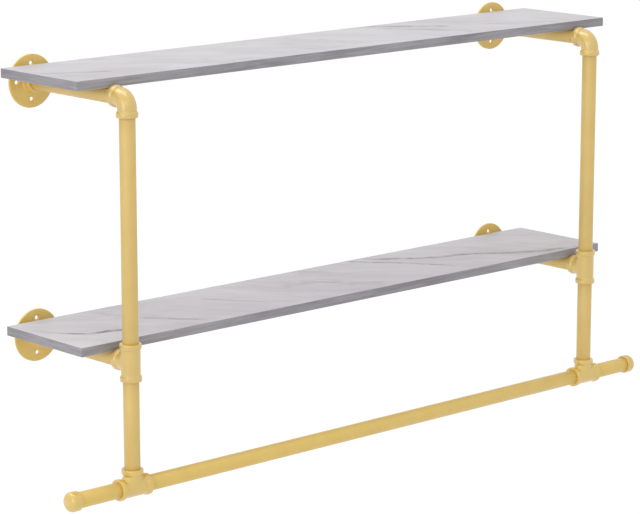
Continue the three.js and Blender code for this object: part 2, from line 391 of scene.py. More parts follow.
def elbow_level(points):
    """Two limbs, back along +Y and down along -Z, with a bend of the body's radius between."""
    x, y, z = points[..., 0], points[..., 1], points[..., 2]
    to_back = limb_level(np.hypot(x, z), y)
    to_down = limb_level(np.hypot(x, y), -z)
    from_bend = np.hypot(y - BEND_RADIUS, z + BEND_RADIUS) - BEND_RADIUS
    bend = np.hypot(x, from_bend) - BODY_RADIUS
    back, down = y > BEND_RADIUS, z < -BEND_RADIUS
    level = np.where(back & ~down, to_back, np.where(down & ~back, to_down, bend))
    return np.where(back & down, np.minimum(to_back, to_down), level)


def tee_level(points):
    """A run along Z and a branch along +Y. The fillet fades where their sides face one way."""
    x, y, z = points[..., 0], points[..., 1], points[..., 2]
    from_run, from_branch = np.hypot(x, y), np.hypot(x, z)
    run = limb_level(from_run, np.abs(z))
    branch = np.maximum(limb_level(from_branch, y), -y)
    alike = x * x / np.maximum(from_run * from_branch, LEAST_PRODUCT)
    fillet = np.maximum(TEE_FILLET * np.sqrt(np.clip(1 - alike, 0, 1)), LEAST_FILLET)
    return soft_min(run, branch, fillet)


def grid_points(low, high):
    """The corners of the cubes that fill a box, with a margin round it."""
    axes = [np.arange(a - 2 * SKIN_STEP, b + 3 * SKIN_STEP, SKIN_STEP) for a, b in zip(low, high)]
    return np.stack(np.meshgrid(*axes, indexing="ij"), -1)


def crossed_cubes(inside):
    """A number for each cube whose corners lie on both sides of the skin, and -1 for the rest."""
    cubes = tuple(n - 1 for n in inside.shape)
    corners = np.stack([
        inside[i:i + cubes[0], j:j + cubes[1], k:k + cubes[2]]
        for i, j, k in itertools.product((0, 1), repeat=3)
    ])
    crossed = corners.any(0) & ~corners.all(0)
    numbers = np.full(cubes, -1)
    numbers[crossed] = np.arange(crossed.sum())
    return numbers


def skin_quads(inside, numbers):
    """A quad through the four cubes round each grid edge that the skin crosses."""
    quads = []
    for axis in range(3):
        first, second = [a for a in range(3) if a != axis]
        here = np.moveaxis(inside, (axis, first, second), (0, 1, 2))
        cube = np.moveaxis(numbers, (axis, first, second), (0, 1, 2))
        before, after = here[:-1, 1:-1, 1:-1], here[1:, 1:-1, 1:-1]
        ring = [cube[:, :-1, :-1], cube[:, 1:, :-1], cube[:, 1:, 1:], cube[:, :-1, 1:]]
        for crossing, order in ((before & ~after, (0, 1, 2, 3)), (~before & after, (3, 2, 1, 0))):
            order = order[::-1] if axis == 1 else order
            quads.append(np.stack([ring[i][crossing] for i in order], -1))
    return np.concatenate(quads)


def settled(level, points):
    """The points after one move onto the skin, each by the side of a cube at most."""
    slope = np.stack([
        (level(points + step) - level(points - step)) / (2 * SLOPE_STEP)
        for step in np.eye(3) * SLOPE_STEP
    ], -1)
    size = np.maximum((slope * slope).sum(-1), LEAST_SLOPE)
    move = -level(points)[:, None] * slope / size[:, None]
    length = np.linalg.norm(move, axis=1, keepdims=True)
    return points + move * np.minimum(1, SKIN_STEP / np.maximum(length, TINY))


def evened(points, quads):
    """The points, each moved halfway to the mean of its neighbours."""
    total, count = np.zeros_like(points), np.zeros(len(points))
    for i in range(4):
        after, before = points[quads[:, (i + 1) % 4]], points[quads[:, i - 1]]
        np.add.at(total, quads[:, i], after + before)
        np.add.at(count, quads[:, i], 2)
    return 0.5 * points + 0.5 * total / count[:, None]


def level_skin(level, low, high):
    """A smooth mesh of quads on the surface where level is zero."""
    grid = grid_points(low, high)
    inside = level(grid) < 0
    numbers = crossed_cubes(inside)
    quads = skin_quads(inside, numbers)
    points = grid[:-1, :-1, :-1][numbers >= 0] + SKIN_STEP / 2
    for _ in range(SETTLE_PASSES):
        points = settled(level, points)
    for _ in range(EVEN_PASSES):
        points = settled(level, evened(points, quads))
    points = settled(level, settled(level, points))
    return points, [tuple(q) for q in quads.tolist()]


# The pieces' shapes
def mouth(face):
    """The hollow at a fitting's face, as (radius, height) points from the socket outwards."""
    flare = LEAD_RADIUS + (MOUTH_CHAMFER + CHAMFER_PAST)
    return [
        (SOCKET_RADIUS, face - LEAD - LEAD_CONE), (LEAD_RADIUS, face - LEAD),
        (LEAD_RADIUS, face - MOUTH_CHAMFER), (flare, face + CHAMFER_PAST), (flare, face + CUT_PAST),
    ]


def tee_hollow():
    """A limb's hollow along +Z, from the tee's middle to past the face, which is at height 0."""
    return [
        (0, -REACH), (BORE_RADIUS, -REACH), (BORE_RADIUS, -THREAD_LENGTH),
        (SOCKET_RADIUS, -THREAD_LENGTH), *mouth(0), (0, CUT_PAST),
    ]


def pipe_shape(length):
    """A pipe along Z between the faces of two fittings, its ends inside them."""
    start, full = SEAT - THREAD_LENGTH, -LEAD
    near = [
        (BORE_RADIUS, start + BORE_CHAMFER), (BORE_RADIUS + BORE_CHAMFER, start),
        (THREAD_RADIUS - THREAD_CHAMFER, start), (THREAD_RADIUS, start + THREAD_CHAMFER),
        (THREAD_RADIUS, full - SHOULDER_CONE), (PIPE_RADIUS - SHOULDER_EASE, full),
        (PIPE_RADIUS, full + SHOULDER_EASE_LENGTH),
    ]
    far = [(radius, length - height) for radius, height in reversed(near)]
    return turned(near + far, closed=True)


def elbow_shape():
    """From its middle, one limb runs back along +Y and the other down along -Z."""
    low, high = (-BAND_RADIUS, -BAND_RADIUS, -REACH), (BAND_RADIUS, REACH, BAND_RADIUS)
    skin = level_skin(elbow_level, low, high)
    inwards = [*reversed(mouth(THREAD_LENGTH)), (SOCKET_RADIUS, SOCKET_FLOOR_SLOPE), (BORE_RADIUS, 0)]
    rings = [tilted_ring(radius, BEND_RADIUS + past, 0, 0) for radius, past in inwards]
    for k in range(1, BEND_STEPS):
        tilt = QUARTER * k / BEND_STEPS
        y, z = BEND_RADIUS * (1 - math.sin(tilt)), -BEND_RADIUS * (1 - math.cos(tilt))
        rings.append(tilted_ring(BORE_RADIUS, y, z, tilt))
    for radius, past in reversed(inwards):
        rings.append(tilted_ring(radius, 0, -BEND_RADIUS - past, QUARTER))
    return without(skin, lofted(rings))


def tee_shape():
    """Its run lies along Z, with a hollow that is its own mirror image, and its branch along +Y."""
    low, high = (-BAND_RADIUS, -BAND_RADIUS, -REACH), (BAND_RADIUS, REACH, REACH)
    skin = level_skin(tee_level, low, high)
    upper = [(radius, height + REACH) for radius, height in tee_hollow()][1:]
    lower = [(radius, -height) for radius, height in reversed(upper)]
    run = turned(lower + upper[1:], HOLLOW_SIDES)
    branch = placed(turned(tee_hollow(), HOLLOW_SIDES), Matrix.Translation((0, 0, REACH)))
    branch = placed(branch, Matrix.Rotation(-QUARTER, 4, "X"))
    return without(skin, run, branch)


def flange_holes():
    """Cutters for a flange's countersunk holes."""
    top, sink_end = PLATE_THICKNESS + CUT_PAST, SINK_RADIUS + SINK_PAST
    hole = turned([
        (0, -CUT_PAST), (HOLE_RADIUS, -CUT_PAST), (HOLE_RADIUS, PLATE_THICKNESS - SINK_DEPTH),
        (SINK_RADIUS, PLATE_THICKNESS), (sink_end, PLATE_THICKNESS + SINK_PAST), (sink_end, top), (0, top),
    ], HOLE_SIDES)
    holes = []
    for k in range(FLANGE_HOLES):
        a = 2 * math.pi / FLANGE_HOLES * k
        spot = Vector((HOLE_CIRCLE_RADIUS * math.cos(a), HOLE_CIRCLE_RADIUS * math.sin(a), 0))
        holes.append(placed(hole, Matrix.Translation(spot)))
    return holes


def flange_shape():
    """It stands on its back, with its hub along +Z."""
    skin = turned([
        (0, 0), (FLANGE_RADIUS - BACK_EDGE, 0), (FLANGE_RADIUS, BACK_EDGE),
        *rounded((FLANGE_RADIUS - RIM_ROUND, PLATE_THICKNESS - RIM_ROUND), RIM_ROUND, 0, 90),
        *rounded((HUB_RADIUS + HUB_FILLET, PLATE_THICKNESS + HUB_FILLET), HUB_FILLET,
                 -90, HUB_FILLET_END, FILLET_STEPS),
        *rounded((HUB_RADIUS - HUB_ROUND, FLANGE_HEIGHT - HUB_ROUND), HUB_ROUND, 0, 90),
        (0, FLANGE_HEIGHT),
    ], RIM_SIDES)
    bore = turned([
        (0, -CUT_PAST), (SOCKET_RADIUS + BACK_CHAMFER, -CUT_PAST),
        (SOCKET_RADIUS + BACK_CHAMFER, 0), (SOCKET_RADIUS, BACK_CHAMFER),
        *mouth(FLANGE_HEIGHT), (0, FLANGE_HEIGHT + CUT_PAST),
    ])
    return without(skin, bore, *flange_holes())


def cap_shape():
    """Its mouth is at height 0 and its closed end is at the top."""
    floor = THREAD_LENGTH + CAP_SPACE
    shoulder = CAP_RADIUS - CAP_ROUND
    dome_start = CAP_LENGTH - CAP_CROWN
    dome = [
        (shoulder * math.cos(a), dome_start + CAP_CROWN * math.sin(a))
        for a in np.radians(np.arange(DOME_TURN, 90, DOME_TURN))
    ]
    return turned([
        (0, floor), (SOCKET_RADIUS - CAP_FLOOR_CHAMFER, floor), (SOCKET_RADIUS, floor - CAP_FLOOR_CHAMFER),
        (SOCKET_RADIUS, LEAD + LEAD_CONE), (LEAD_RADIUS, LEAD), (LEAD_RADIUS, MOUTH_CHAMFER),
        (LEAD_RADIUS + MOUTH_CHAMFER, 0),
        *rounded((CAP_RADIUS - CAP_RIM_ROUND, CAP_RIM_ROUND), CAP_RIM_ROUND, -90, 0),
        *rounded((shoulder, dome_start - CAP_ROUND), CAP_ROUND, 0, CAP_TURN, CAP_STEPS),
        *dome, (0, CAP_LENGTH),
    ])


def board_shape():
    """Its underside is at height 0, its middle at X 0 and its back edge at Y 0."""
    low, high = (BOARD_ROUND, BOARD_ROUND), (BOARD_ROUND, BOARD_THICKNESS - BOARD_ROUND)
    lower_edge = rounded(low, BOARD_ROUND, -90, -180, BOARD_EDGE_STEPS)
    upper_edge = rounded(high, BOARD_ROUND, 180, 90, BOARD_EDGE_STEPS)
    rings = []
    for inset, z in lower_edge + upper_edge:
        x, front, back = BOARD_LENGTH / 2 - inset, -BOARD_DEPTH + inset, -inset
        rings.append(np.array([(-x, front, z), (x, front, z), (x, back, z), (-x, back, z)]))
    pilot_radius, pilot_end = SCREW_RADIUS + DRILL_GAP, BITE + DRILL_GAP
    pilot = turned([
        (0, -CUT_PAST), (pilot_radius, -CUT_PAST), (pilot_radius, pilot_end), (0, pilot_end + PILOT_TIP),
    ], PILOT_SIDES)
    pilots = [
        placed(pilot, Matrix.Translation((x, -inset, 0)))
        for x in (-POST_X, POST_X) for inset in SCREW_INSETS.values()
    ]
    return without(lofted(rings), *pilots)


def thread_ring(height, length, angles):
    """A ring of the screw's thread at that height. Core and crest run out towards the tip."""
    left = length - height
    phase = (height / SCREW_PITCH - angles / (2 * math.pi)) % 1.0
    crest = np.clip(1 - np.abs(phase - 0.5) / CREST_SHARE, 0, 1)
    core = SCREW_CORE * min(1.0, left / CORE_TAPER)
    radius = core + (SCREW_RADIUS - SCREW_CORE) * crest * min(1.0, left / CREST_TAPER)
    return flat_ring(radius, height, angles)


def screw_shape():
    """It points up, with the face of its countersunk head and its cross recess at height 0."""
    length = SCREW_DROP + BOARD_RISE + BITE
    angles = np.arange(SCREW_SIDES) * 2 * math.pi / SCREW_SIDES
    shank_end = HEAD_HEIGHT + SHANK_LENGTH
    plain = [
        (HEAD_RADIUS - HEAD_EASE, 0), (HEAD_RADIUS, HEAD_EASE_HEIGHT), (SCREW_RADIUS, HEAD_HEIGHT),
        (SCREW_RADIUS - SHANK_TAPER, shank_end),
    ]
    rings = [flat_ring(radius, height, angles) for radius, height in plain]
    for height in np.arange(shank_end + THREAD_STEP, length - THREAD_STEP / 2, THREAD_STEP):
        rings.append(thread_ring(height, length, angles))
    bars = []
    for x, y in ((RECESS_REACH, RECESS_WIDTH / 2), (RECESS_WIDTH / 2, RECESS_REACH)):
        inner = rectangle(x * RECESS_TAPER, y * RECESS_TAPER, RECESS_DEPTH)
        bars.append(lofted([rectangle(x, y, -RECESS_PAST), inner]))
    return without(lofted(rings), *bars)


def arm_shape(length):
    """An arm runs along +Z, from the flange's face to the front fitting's. Its underside is at -Y."""
    head_radius, drill_radius = HEAD_RADIUS + HEAD_GAP, SCREW_RADIUS + DRILL_GAP
    hole = turned([
        (0, -DRILL_PAST), (head_radius, -DRILL_PAST), (head_radius, -SCREW_DROP),
        (drill_radius, HEAD_HEIGHT - SCREW_DROP), (drill_radius, DRILL_PAST), (0, DRILL_PAST),
    ], DRILL_SIDES)
    holes = []
    for inset in SCREW_INSETS.values():
        along = -FLANGE_HEIGHT - (BOARD_BACK - inset)
        turn = Matrix.Translation((0, 0, along)) @ Matrix.Rotation(-QUARTER, 4, "X")
        holes.append(placed(hole, turn))
    return without(pipe_shape(length), *holes)


# Nodes that the materials are made of

# A noise texture's values lie mostly within this span
NOISE_LOW, NOISE_HIGH = 0.3, 0.7


def node(tree, kind, **settings):
    """A node with its properties, and its inputs by name or number as values or sockets."""
    made = tree.nodes.new(kind)
    inputs = settings.pop("inputs", {})
    for key, value in settings.items():
        setattr(made, key, value)
    for key, value in inputs.items():
        if isinstance(value, bpy.types.NodeSocket):
            tree.links.new(value, made.inputs[key])
        else:
            made.inputs[key].default_value = value
    return made


def math_node(tree, operation, a, b=0.0, clamp=False):
    """One step of arithmetic on values or sockets."""
    inputs = {0: a, 1: b}
    return node(tree, "ShaderNodeMath", operation=operation, use_clamp=clamp, inputs=inputs).outputs[0]


def ramp(tree, value, stops):
    """A colour ramp through the (place, colour) stops."""
    made = node(tree, "ShaderNodeValToRGB", inputs={"Fac": value})
    elements = made.color_ramp.elements
    while len(elements) < len(stops):
        elements.new(0.5)
    for element, (place, colour) in zip(elements, stops):
        element.position = place
        element.color = (*colour, 1)
    return made.outputs["Color"]


def noise(tree, vector, scale, detail=2.0, roughness=0.5, output="Fac"):
    """A noise texture's value, or its colour."""
    return node(tree, "ShaderNodeTexNoise", inputs={
        "Vector": vector, "Scale": scale, "Detail": detail, "Roughness": roughness,
    }).outputs[output]


def mapped(tree, vector, location=(0, 0, 0), rotation=(0, 0, 0), scale=(1, 1, 1)):
    """The vector scaled, turned and moved."""
    return node(tree, "ShaderNodeMapping", inputs={
        "Vector": vector, "Location": location, "Rotation": rotation, "Scale": scale,
    }).outputs["Vector"]


def mix_colour(tree, share, a, b, blend="MIX"):
    """Colour a, with the share of colour b mixed in. A Mix node's colour sockets go by number."""
    inputs = {0: share, 6: a, 7: b}
    return node(tree, "ShaderNodeMix", data_type="RGBA", blend_type=blend, inputs=inputs).outputs[2]


def spread(tree, value, low, high, to_low, to_high, style="SMOOTHSTEP"):
    """The value's range from low to high, taken to another one in a soft step or a straight line."""
    return node(tree, "ShaderNodeMapRange", interpolation_type=style, inputs={
        "Value": value, "From Min": low, "From Max": high, "To Min": to_low, "To Max": to_high,
    }).outputs["Result"]


def new_material(name):
    """A material, its node tree, its shader and the object's own coordinates, in metres."""
    material = bpy.data.materials.new(name)
    material.use_nodes = True
    tree = material.node_tree
    shader = tree.nodes["Principled BSDF"]
    where = node(tree, "ShaderNodeTexCoord").outputs["Object"]
    return material, tree, shader, where


def set_roughness(tree, shader, value, low, high):
    """The roughness goes from low to high as the noise value rises."""
    rough = spread(tree, value, NOISE_LOW, NOISE_HIGH, low, high, style="LINEAR")
    tree.links.new(rough, shader.inputs["Roughness"])


def set_bump(tree, shader, height, strength, depth):
    """Small bumps of that depth in metres, where the height socket is high."""
    bump = node(tree, "ShaderNodeBump", inputs={"Strength": strength, "Distance": depth, "Height": height})
    tree.links.new(bump.outputs["Normal"], shader.inputs["Normal"])


# Looks

# The gold paint: how metallic it is, how far its roughness varies, and how strong its orange peel is
PAINT_METALLIC = 0.1
PAINT_ROUGH_BELOW, PAINT_ROUGH_ABOVE = 0.05, 0.06
PAINT_BUMP = 0.35

# The finishes of the gold paint. The depth of the grain is in metres
PIPE_FINISH = dict(rough=0.50, coat=0.85, coat_ior=1.7, coat_rough=0.60, grain=900, depth=0.00010)
CAST_FINISH = dict(rough=0.46, coat=1.0, coat_ior=1.9, coat_rough=0.27, grain=420, depth=0.00018)
FLANGE_FINISH = dict(rough=0.52, coat=0.5, coat_ior=1.7, coat_rough=0.36, grain=420, depth=0.00018)

# Greys of the marble, its streaks, the edge band and the zinc as (place, colour), and of the veins
MARBLE_GREYS = [
    (0.30, (0.501, 0.480, 0.503)), (0.50, (0.582, 0.558, 0.584)), (0.70, (0.643, 0.620, 0.645)),
]
STREAK_SHADES = [(0.30, (0.90, 0.90, 0.905)), (0.52, (1, 1, 1)), (0.70, (1.035, 1.035, 1.035))]
BAND_GREYS = [
    (0.36, (0.237, 0.229, 0.246)), (0.5, (0.336, 0.324, 0.346)), (0.64, (0.440, 0.426, 0.451)),
]
ZINC_GREYS = [(0.35, (0.50, 0.51, 0.53)), (0.65, (0.66, 0.67, 0.69))]
VEIN_GREY = (0.15, 0.145, 0.15, 1)

# The marble's pattern: its slant in degrees, how it is bent and stretched, and its hairlines, with
# the values of a noise between which they appear
CLOUD_SLANT = 42
CLOUD_WARP = (0.11, 0.09, 0.0)
CLOUD_STRETCH = (2.4, 9.0, 1.0)
STREAK_STRETCH = (10.0, 34.0, 1.0)
HAIR_STRETCH = (1.6, 5.5, 1.0)
HAIR_WIDTH = 0.02
HAIR_STRENGTH = 0.20
HAIRLESS, HAIRY = 0.45, 0.62

# How much of the edge band's grey comes from its broad patches. The rest comes from its streaks
BAND_PATCH_SHARE = 0.4

# The veins: the depth in Y that their curves span, how far they waver as a share of it, and how
# steeply they start and end
VEIN_SPAN = 240.0
VEIN_SHAKE = 0.07
VEIN_ENDS = 12.0

# The noises that fade the veins, each as (scale, least strength), the values of the noise
# between which a vein goes from faint to full, and its full strength
VEIN_FADES = ((21, 0.45), (60, 0.6))
FAINT, FULL = 0.38, 0.56
FULL_STRENGTH = 1.1

# Each vein as ([(x, y), ...] from the board's middle and back edge, width, strength)
UPPER_VEINS = [
    ([(190, -26), (214, -44), (262, -82), (316, -122)], 17, 0.60),
    ([(190, -62), (226, -104), (270, -168)], 14, 0.56),
    ([(385, -140), (440, -172), (520, -204)], 10, 0.42),
    ([(-612, -108), (-567, -139), (-500, -168)], 10, 0.40),
    ([(-36, -56), (2, -104), (56, -180)], 12, 0.14),
    ([(-230, -120), (-205, -150), (-176, -190)], 9, 0.16),
    ([(-430, -96), (-392, -140), (-340, -200)], 12, 0.14),
]
LOWER_VEINS = [
    ([(184, -28), (232, -67), (296, -108), (334, -118)], 13, 0.95),
    ([(306, -108), (342, -120), (392, -149), (446, -184), (548, -214)], 13, 0.66),
    ([(140, -18), (180, -62), (222, -112), (280, -196)], 11, 0.72),
    ([(-606, -72), (-557, -146), (-517, -158), (-474, -176)], 10, 0.85),
    ([(-420, -112), (-382, -160), (-336, -204)], 12, 0.40),
    ([(-250, -80), (-215, -126), (-180, -176)], 12, 0.34),
    ([(-30, -92), (8, -136), (44, -190)], 12, 0.34),
    ([(26, -26), (56, -66), (88, -112)], 13, 0.26),
]


# Materials
def gold_paint(name, deep, light, finish):
    """Satin gold paint under a clear coat: a slow drift of colour and a fine orange peel."""
    material, tree, shader, where = new_material(name)
    drift = noise(tree, where, scale=22, detail=4, roughness=0.55)
    base = ramp(tree, drift, [(NOISE_LOW, deep), (NOISE_HIGH, light)])
    tree.links.new(base, shader.inputs["Base Color"])
    shader.inputs["Metallic"].default_value = PAINT_METALLIC
    shader.inputs["Coat Weight"].default_value = finish["coat"]
    shader.inputs["Coat IOR"].default_value = finish["coat_ior"]
    shader.inputs["Coat Roughness"].default_value = finish["coat_rough"]
    cloud = noise(tree, where, scale=160, detail=3, roughness=0.6)
    rough = finish["rough"]
    set_roughness(tree, shader, cloud, rough - PAINT_ROUGH_BELOW, rough + PAINT_ROUGH_ABOVE)
    grain = noise(tree, where, scale=finish["grain"], detail=3, roughness=0.55)
    set_bump(tree, shader, grain, PAINT_BUMP, finish["depth"])
    return material


def marble_clouds(tree, slant, painted_light_lift):
    """The marble's pale grey clouds with slanting streaks over them, and the streaks alone. The greys are
    scaled by the lift factor; above 1 it is painted light.
    """
    clouds = noise(tree, mapped(tree, slant, scale=CLOUD_STRETCH), scale=1.5, detail=6, roughness=0.6)
    greys = [(place, tuple(painted_light_lift * part for part in grey)) for place, grey in MARBLE_GREYS]
    colour = ramp(tree, clouds, greys)
    streak = noise(tree, mapped(tree, slant, scale=STREAK_STRETCH), scale=1.8, detail=7, roughness=0.62)
    shade = ramp(tree, streak, STREAK_SHADES)
    return mix_colour(tree, 1.0, colour, shade, "MULTIPLY"), streak


def marble_hairs(tree, slant, moved):
    """How dark the hairlines are: thin lines along the ridges of a noise, here and there."""
    ridge = noise(tree, mapped(tree, slant, scale=HAIR_STRETCH), scale=2.0, detail=4, roughness=0.55)
    from_ridge = math_node(tree, "ABSOLUTE", math_node(tree, "SUBTRACT", ridge, 0.5))
    hair = spread(tree, from_ridge, 0.0, HAIR_WIDTH, HAIR_STRENGTH, 0.0)
    here = spread(tree, noise(tree, moved, scale=5.0), HAIRLESS, HAIRY, 0.0, 1.0)
    return math_node(tree, "MULTIPLY", hair, here)


def vein(tree, x, y, shake, points, width):
    """A thin line through the (x, y) points, as millimetres: 1 on the line and 0 off it."""
    start, end = points[0][0], points[-1][0]
    along = node(tree, "ShaderNodeMapRange", inputs={
        "Value": x, "From Min": start / METRE, "From Max": end / METRE,
    }).outputs["Result"]
    curve = node(tree, "ShaderNodeFloatCurve", inputs={"Value": along})
    line = curve.mapping.curves[0]
    while len(line.points) < len(points):
        line.points.new(0.5, 0.5)
    for point, (px, py) in zip(line.points, points):
        point.location = ((px - start) / (end - start), -py / VEIN_SPAN)
    curve.mapping.update()
    depth = math_node(tree, "MULTIPLY", y, -METRE / VEIN_SPAN)
    gap = math_node(tree, "SUBTRACT", math_node(tree, "ADD", depth, shake), curve.outputs[0])
    core = spread(tree, math_node(tree, "ABSOLUTE", gap), 0.0, width / VEIN_SPAN, 1.0, 0.0)
    arch = math_node(tree, "MULTIPLY", along, math_node(tree, "SUBTRACT", 1.0, along))
    return math_node(tree, "MULTIPLY", core, math_node(tree, "MULTIPLY", arch, VEIN_ENDS, clamp=True))


def marble_veins(tree, where, moved, dark, veins):
    """The darkness with the veins added. They waver, and they fade in and out along their way."""
    split = node(tree, "ShaderNodeSeparateXYZ", inputs={0: where})
    waver = noise(tree, moved, scale=26, detail=5, roughness=0.62)
    shake = math_node(tree, "MULTIPLY", math_node(tree, "SUBTRACT", waver, 0.5), VEIN_SHAKE)
    for points, width, strength in veins:
        line = vein(tree, split.outputs["X"], split.outputs["Y"], shake, points, width)
        dark = math_node(tree, "MAXIMUM", dark, math_node(tree, "MULTIPLY", line, strength))
    for scale, least in VEIN_FADES:
        fade = spread(tree, noise(tree, moved, scale, detail=4), FAINT, FULL, least, FULL_STRENGTH)
        dark = math_node(tree, "MULTIPLY", dark, fade)
    return dark


def marble(name, shift, painted_light_lift, veins):
    """Printed marble: soft slanting clouds and hairlines, with a few thin grey veins. The lift factor
    lightens all its greys, as painted light.
    """
    material, tree, shader, where = new_material(name)
    moved = mapped(tree, where, location=shift)
    warp = noise(tree, moved, scale=5.0, detail=3, output="Color")
    bent = node(tree, "ShaderNodeVectorMath", operation="MULTIPLY_ADD", inputs={
        0: warp, 1: CLOUD_WARP, 2: moved,
    }).outputs["Vector"]
    slant = mapped(tree, bent, rotation=(0, 0, math.radians(CLOUD_SLANT)))
    colour, streak = marble_clouds(tree, slant, painted_light_lift)
    dark = marble_veins(tree, where, moved, marble_hairs(tree, slant, moved), veins)
    colour = mix_colour(tree, dark, colour, VEIN_GREY)
    tree.links.new(colour, shader.inputs["Base Color"])
    rough = spread(tree, streak, NOISE_LOW, NOISE_HIGH, to_low=0.40, to_high=0.52)
    tree.links.new(rough, shader.inputs["Roughness"])
    grain = noise(tree, mapped(tree, where, scale=(1, 3, 3)), scale=700)
    set_bump(tree, shader, grain, strength=0.2, depth=0.00006)
    shader.inputs["Specular IOR Level"].default_value = 0.35
    return material


def edge_band(name):
    """The boards' edge banding: a darker grey with fine streaks along the edge."""
    material, tree, shader, where = new_material(name)
    streak = noise(tree, mapped(tree, where, scale=(16, 16, 420)), scale=1.0, detail=6, roughness=0.62)
    patches = mapped(tree, where, location=(12.81, 0, 0), scale=(6, 6, 40))
    cloud = noise(tree, patches, scale=1.0, detail=3)
    inputs = {0: BAND_PATCH_SHARE, 2: streak, 3: cloud}
    both = node(tree, "ShaderNodeMix", data_type="FLOAT", inputs=inputs).outputs[0]
    tree.links.new(ramp(tree, both, BAND_GREYS), shader.inputs["Base Color"])
    set_roughness(tree, shader, streak, low=0.46, high=0.6)
    set_bump(tree, shader, streak, strength=0.25, depth=0.00008)
    shader.inputs["Specular IOR Level"].default_value = 0.3
    return material


def zinc(name):
    """Zinc plate on the screws: a pale grey spangle."""
    material, tree, shader, where = new_material(name)
    spangle = noise(tree, where, scale=900, detail=3)
    tree.links.new(ramp(tree, spangle, ZINC_GREYS), shader.inputs["Base Color"])
    shader.inputs["Metallic"].default_value = 0.9
    set_roughness(tree, shader, spangle, low=0.28, high=0.42)
    set_bump(tree, shader, spangle, strength=0.3, depth=0.00004)
    return material


pipe_gold = gold_paint("pipe_gold", (0.710, 0.491, 0.125), (0.763, 0.538, 0.155), PIPE_FINISH)
# The rail and its stubs get a lighter, more saturated copy of the pipe gold: painted light for the
# brighter light low down, near the floor
painted_light_rail_gold = gold_paint("painted_light_rail_gold", (0.762, 0.519, 0.103), (0.818, 0.568, 0.128), PIPE_FINISH)
cast_gold = gold_paint("cast_gold", (0.684, 0.459, 0.082), (0.733, 0.502, 0.104), CAST_FINISH)
# The bottom tees and end caps get a lighter, more saturated copy of the cast gold: painted light for the
# brighter light low down, near the floor
painted_light_low_gold = gold_paint("painted_light_low_gold", (0.720, 0.480, 0.066), (0.772, 0.526, 0.086), CAST_FINISH)
flange_gold = gold_paint("flange_gold", (0.800, 0.553, 0.129), (0.856, 0.603, 0.159), FLANGE_FINISH)
edge_grey = edge_band("edge_grey")
screw_zinc = zinc("screw_zinc")
marbles = {
    "upper": marble("upper_marble", (0.31, 0.12, 0.0), 1.0, UPPER_VEINS),
    # The lower board's greys are raised by 8%: painted light, making up for the shade that the upper board
    # casts on it
    "lower": marble("lower_marble", (2.17, 1.43, 0.0), 1.08, LOWER_VEINS),
}

# Putting the pieces in place

# Edges that turn by more than so many degrees are drawn sharp, and a board's face whose normal is
# at least this upright is one of the broad ones
SHARP = 38
BOARD_SHARP = 50
BROAD_FACE = 0.25


def piece(name, shape, place, materials, node_name, sharp=SHARP, paint=None):
    """A shape in metres at its place, with its looks, which stands for one node of the frame."""
    obj = as_object(name, placed(shape, place), 1 / METRE)
    for material in materials:
        obj.data.materials.append(material)
    obj.data.shade_smooth()
    obj.data.set_sharp_from_angle(angle=math.radians(sharp))
    if paint is not None:
        for polygon in obj.data.polygons:
            polygon.material_index = paint(polygon)
    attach(obj, "root")
    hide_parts(node_name)


def at(x, y, z, turn=None):
    """A move to a place, after a turn."""
    move = Matrix.Translation((x, y, z))
    return move @ turn if turn is not None else move


def board_side(polygon):
    """The number of a board's material: 0 on the marble faces, 1 round the banded edges."""
    return 0 if abs(polygon.normal.z) > BROAD_FACE else 1


# Turns that take +Z to the front, the right and the left
FORWARD = Matrix.Rotation(QUARTER, 4, "X")
TO_RIGHT = Matrix.Rotation(QUARTER, 4, "Y")
TO_LEFT = Matrix.Rotation(-QUARTER, 4, "Y")
# A bottom tee's branch, +Y, points up and its run, Z, lies along X
LAID = Matrix(((0, 0, 1, 0), (1, 0, 0, 0), (0, 1, 0, 0), (0, 0, 0, 1)))

elbow, tee, flange, cap = elbow_shape(), tee_shape(), flange_shape(), cap_shape()
screw, board = screw_shape(), board_shape()
arm = arm_shape(-FACE_Y - FLANGE_HEIGHT)
upper_post = pipe_shape(SHELF_PITCH - 2 * REACH)
lower_post = pipe_shape(RAIL_DROP - 2 * REACH)
rail = pipe_shape(2 * POST_X - 2 * REACH)
stub = pipe_shape(STUB_LENGTH + 2 * SEAT)

for level, z in LEVELS.items():
    piece(f"{level}_board_slab", board, at(0, BOARD_BACK, z + BOARD_RISE), [marbles[level], edge_grey],
          f"{level}_board", BOARD_SHARP, board_side)

